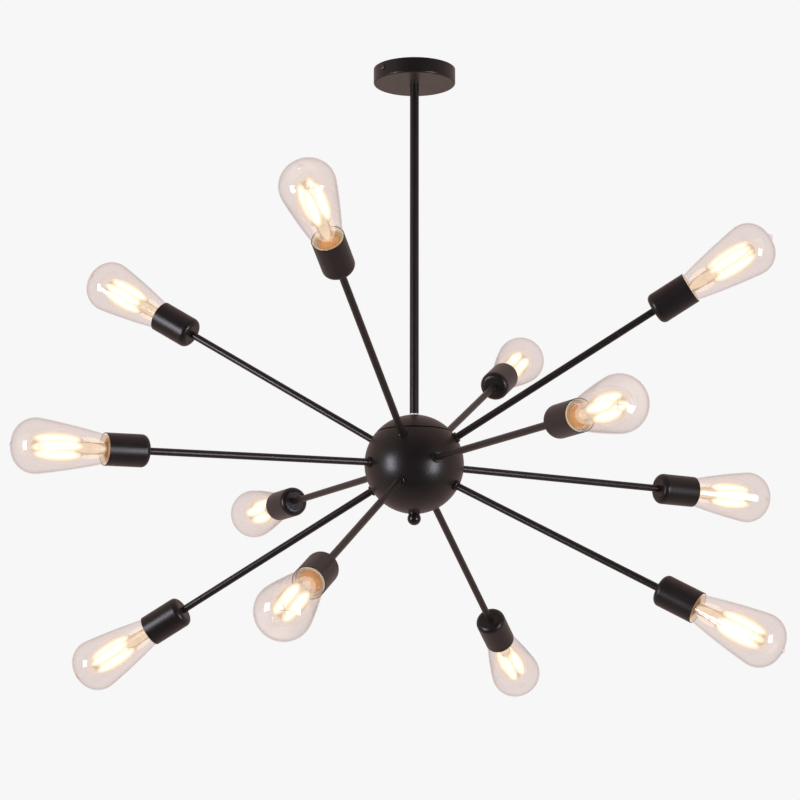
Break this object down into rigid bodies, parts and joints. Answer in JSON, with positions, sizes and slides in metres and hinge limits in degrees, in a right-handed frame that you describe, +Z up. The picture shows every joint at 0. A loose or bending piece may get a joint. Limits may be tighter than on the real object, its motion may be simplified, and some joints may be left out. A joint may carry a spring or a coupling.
{
  "type": "sputnik chandelier",
  "caption": "Ceiling light: arms radiate from a ball on a rod, each with a socket cup and a clear pear-shaped bulb; round canopy over a slotted bracket.",
  "frame": {"origin": "middle of the ceiling bracket's top face, on the ceiling plane and on the rod's axis", "axes": "+Z up into the ceiling, the lamp hangs towards -Z; X along the bracket's two slots and side screws"},
  "size_m": [0.9841, 0.9872, 0.7566],
  "materials": {
    "black_paint": "satin",
    "plated_steel": "polished",
    "moulded_black": "matte",
    "lead_sheath": "matte",
    "clear_glass": "clear",
    "brass": "polished"
  },
  "bodies": {
    "fixture": {"canopy": "black_paint", "ceiling_bracket": "plated_steel", "canopy_screws": "plated_steel", "down_rod": "black_paint", "ball_bowl": "black_paint", "ball_cap": "black_paint", "centre_pipe": "plated_steel", "finial": "black_paint", "arm_collars": "black_paint", "lock_nuts": "plated_steel", "lampholders": "moulded_black", "wiring_loom": "lead_sheath", "arm_tube_01": "black_paint", "arm_tube_02": "black_paint", "arm_tube_03": "black_paint", "arm_tube_04": "black_paint", "arm_tube_05": "black_paint", "arm_tube_06": "black_paint", "arm_tube_07": "black_paint", "arm_tube_08": "black_paint", "arm_tube_09": "black_paint", "arm_tube_10": "black_paint", "arm_tube_11": "black_paint", "arm_tube_12": "black_paint", "socket_cup_01": "black_paint", "socket_cup_02": "black_paint", "socket_cup_03": "black_paint", "socket_cup_04": "black_paint", "socket_cup_05": "black_paint", "socket_cup_06": "black_paint", "socket_cup_07": "black_paint", "socket_cup_08": "black_paint", "socket_cup_09": "black_paint", "socket_cup_10": "black_paint", "socket_cup_11": "black_paint", "socket_cup_12": "black_paint"},
    "bulb_01": {"bulb_glass_01": "clear_glass", "bulb_base_01": "brass"},
    "bulb_02": {"bulb_glass_02": "clear_glass", "bulb_base_02": "brass"},
    "bulb_03": {"bulb_glass_03": "clear_glass", "bulb_base_03": "brass"},
    "bulb_04": {"bulb_glass_04": "clear_glass", "bulb_base_04": "brass"},
    "bulb_05": {"bulb_glass_05": "clear_glass", "bulb_base_05": "brass"},
    "bulb_06": {"bulb_glass_06": "clear_glass", "bulb_base_06": "brass"},
    "bulb_07": {"bulb_glass_07": "clear_glass", "bulb_base_07": "brass"},
    "bulb_08": {"bulb_glass_08": "clear_glass", "bulb_base_08": "brass"},
    "bulb_09": {"bulb_glass_09": "clear_glass", "bulb_base_09": "brass"},
    "bulb_10": {"bulb_glass_10": "clear_glass", "bulb_base_10": "brass"},
    "bulb_11": {"bulb_glass_11": "clear_glass", "bulb_base_11": "brass"},
    "bulb_12": {"bulb_glass_12": "clear_glass", "bulb_base_12": "brass"}
  },
  "joints": [
    {"name": "bulb_01_unscrew", "type": "slide", "parent": "fixture", "child": "bulb_01", "axis": [-0.7222, -0.478, 0.5], "range_m": [0, 0.036]},
    {"name": "bulb_02_unscrew", "type": "slide", "parent": "fixture", "child": "bulb_02", "axis": [0.4491, -0.7475, 0.4894], "range_m": [0, 0.036]},
    {"name": "bulb_03_unscrew", "type": "slide", "parent": "fixture", "child": "bulb_03", "axis": [0.7786, 0.4459, 0.4415], "range_m": [0, 0.036]},
    {"name": "bulb_04_unscrew", "type": "slide", "parent": "fixture", "child": "bulb_04", "axis": [-0.4455, 0.727, 0.5225], "range_m": [0, 0.036]},
    {"name": "bulb_05_unscrew", "type": "slide", "parent": "fixture", "child": "bulb_05", "axis": [-0.2317, -0.9727, -0.0122], "range_m": [0, 0.036]},
    {"name": "bulb_06_unscrew", "type": "slide", "parent": "fixture", "child": "bulb_06", "axis": [0.9706, -0.2402, -0.0157], "range_m": [0, 0.036]},
    {"name": "bulb_07_unscrew", "type": "slide", "parent": "fixture", "child": "bulb_07", "axis": [0.2266, 0.974, 0.0035], "range_m": [0, 0.036]},
    {"name": "bulb_08_unscrew", "type": "slide", "parent": "fixture", "child": "bulb_08", "axis": [-0.9699, 0.2418, -0.0297], "range_m": [0, 0.036]},
    {"name": "bulb_09_unscrew", "type": "slide", "parent": "fixture", "child": "bulb_09", "axis": [-0.7598, -0.4529, -0.4664], "range_m": [0, 0.036]},
    {"name": "bulb_10_unscrew", "type": "slide", "parent": "fixture", "child": "bulb_10", "axis": [0.4336, -0.7663, -0.4741], "range_m": [0, 0.036]},
    {"name": "bulb_11_unscrew", "type": "slide", "parent": "fixture", "child": "bulb_11", "axis": [0.7637, 0.4589, -0.454], "range_m": [0, 0.036]},
    {"name": "bulb_12_unscrew", "type": "slide", "parent": "fixture", "child": "bulb_12", "axis": [-0.4434, 0.7558, -0.4818], "range_m": [0, 0.036]}
  ]
}
